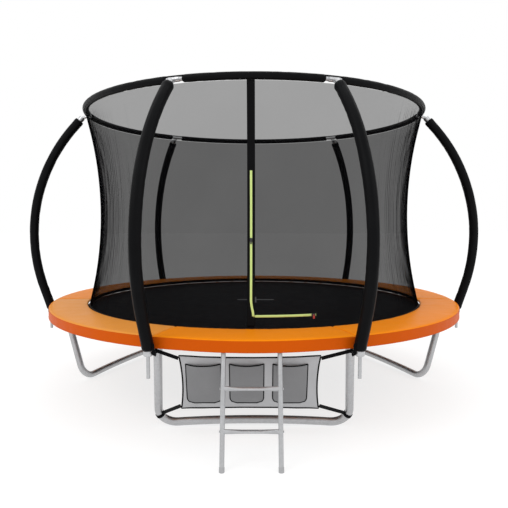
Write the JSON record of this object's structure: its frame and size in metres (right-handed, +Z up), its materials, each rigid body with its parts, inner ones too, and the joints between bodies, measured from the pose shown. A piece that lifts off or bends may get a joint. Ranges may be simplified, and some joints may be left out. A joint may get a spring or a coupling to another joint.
{
  "type": "backyard trampoline",
  "caption": "Round garden trampoline with a waisted safety net on curved padded poles, spring pad, leaning ladder and a hanging pocket bag.",
  "frame": {"origin": "on the ground, under the middle of the whole object; the round bed is centred 90 mm behind it", "axes": "+X to the right seen from the ladder side, +Y away from the ladder, +Z up"},
  "size_m": [3.4105, 3.2495, 2.0409],
  "materials": {
    "galvanised_tube": "galvanised, satin with fine spangle",
    "bracket_steel": "zinc plated, satin",
    "bolt_steel": "bright zinc",
    "sleeve_black": "black coated cloth over foam, low sheen",
    "net_mesh": "fine black knitted polyester mesh, see-through",
    "webbing_black": "black woven polyester webbing",
    "zip_lime": "lime coil zip and sliders",
    "pull_red": "red moulded pull",
    "mat_black": "black woven polypropylene jumping cloth",
    "ring_wire": "zinc plated wire",
    "spring_steel": "zinc plated spring wire",
    "pad_orange": "orange coated cloth over foam, semi-matt",
    "skirt_orange": "orange coated cloth",
    "bag_grey": "light grey cloth, darker pockets, black binding",
    "foot_rubber": "moulded rubber"
  },
  "bodies": {
    "frame": {"bag_straps": "webbing_black", "clamp_bolts": "bolt_steel", "door_band": "webbing_black", "door_zip": "zip_lime", "enclosure_net": "net_mesh", "frame_rail_1": "galvanised_tube", "frame_rail_2": "galvanised_tube", "frame_rail_3": "galvanised_tube", "frame_rail_4": "galvanised_tube", "frame_rail_5": "galvanised_tube", "frame_rail_6": "galvanised_tube", "hoop_brackets": "bracket_steel", "hoop_sleeve": "sleeve_black", "leg_base_front": "galvanised_tube", "leg_base_left": "galvanised_tube", "leg_base_right": "galvanised_tube", "leg_sockets": "galvanised_tube", "leg_upright_1": "galvanised_tube", "leg_upright_2": "galvanised_tube", "leg_upright_3": "galvanised_tube", "leg_upright_4": "galvanised_tube", "leg_upright_5": "galvanised_tube", "leg_upright_6": "galvanised_tube", "pad_skirt": "skirt_orange", "pole_clamps": "bracket_steel", "pole_lower_1": "galvanised_tube", "pole_lower_2": "galvanised_tube", "pole_lower_3": "galvanised_tube", "pole_lower_4": "galvanised_tube", "pole_lower_5": "galvanised_tube", "pole_lower_6": "galvanised_tube", "pole_sleeve_1": "sleeve_black", "pole_sleeve_2": "sleeve_black", "pole_sleeve_3": "sleeve_black", "pole_sleeve_4": "sleeve_black", "pole_sleeve_5": "sleeve_black", "pole_sleeve_6": "sleeve_black", "pole_upper_1": "galvanised_tube", "pole_upper_2": "galvanised_tube", "pole_upper_3": "galvanised_tube", "pole_upper_4": "galvanised_tube", "pole_upper_5": "galvanised_tube", "pole_upper_6": "galvanised_tube", "safety_pad": "pad_orange", "springs": "spring_steel", "storage_bag": "bag_grey", "top_hoop": "galvanised_tube"},
    "ladder": {"ladder_rail_left": "galvanised_tube", "ladder_rail_right": "galvanised_tube", "ladder_rung_lower": "galvanised_tube", "ladder_rung_upper": "galvanised_tube", "ladder_feet": "foot_rubber", "ladder_screws": "bolt_steel"},
    "bed": {"jumping_mat": "mat_black", "mat_webbing": "webbing_black", "mat_rings": "ring_wire"},
    "upper_slider": {"upper_slider": "zip_lime"},
    "upper_pull": {"upper_pull": "zip_lime"},
    "lower_slider": {"lower_slider": "zip_lime"},
    "lower_pull": {"lower_pull": "pull_red"}
  },
  "joints": [
    {"name": "bed_bounce", "type": "slide", "parent": "frame", "child": "bed", "axis": [0, 0, 1], "range_m": [-0.12, 0], "stiffness_N_per_m": 6000, "springref_m": 0.04, "deforming": ["springs"]},
    {"name": "ladder_swing", "type": "hinge", "parent": "frame", "child": "ladder", "pos_m": [-0.012, -1.3747, 0.569], "axis": [-1, 0, 0], "range_deg": [0, 12]},
    {"name": "upper_zip_travel", "type": "hinge", "parent": "frame", "child": "upper_slider", "pos_m": [-0.0524, -3.66263, 1.295], "axis": [-0.9999, 0.014, 0], "range_deg": [-9.14, 8.41]},
    {"name": "upper_pull_swing", "type": "hinge", "parent": "upper_slider", "child": "upper_pull", "pos_m": [-0.01652, -1.0929, 1.11466], "axis": [-0.9999, 0.014, 0], "range_deg": [0, 100]},
    {"name": "lower_zip_travel", "type": "hinge", "parent": "frame", "child": "lower_slider", "pos_m": [0, 0.09, 0.684], "axis": [0, 0, 1], "range_deg": [-15, 0]},
    {"name": "lower_pull_swing", "type": "hinge", "parent": "lower_slider", "child": "lower_pull", "pos_m": [0.34414, -1.11016, 0.68622], "axis": [-0.9613, -0.2756, 0], "range_deg": [0, 100]}
  ]
}
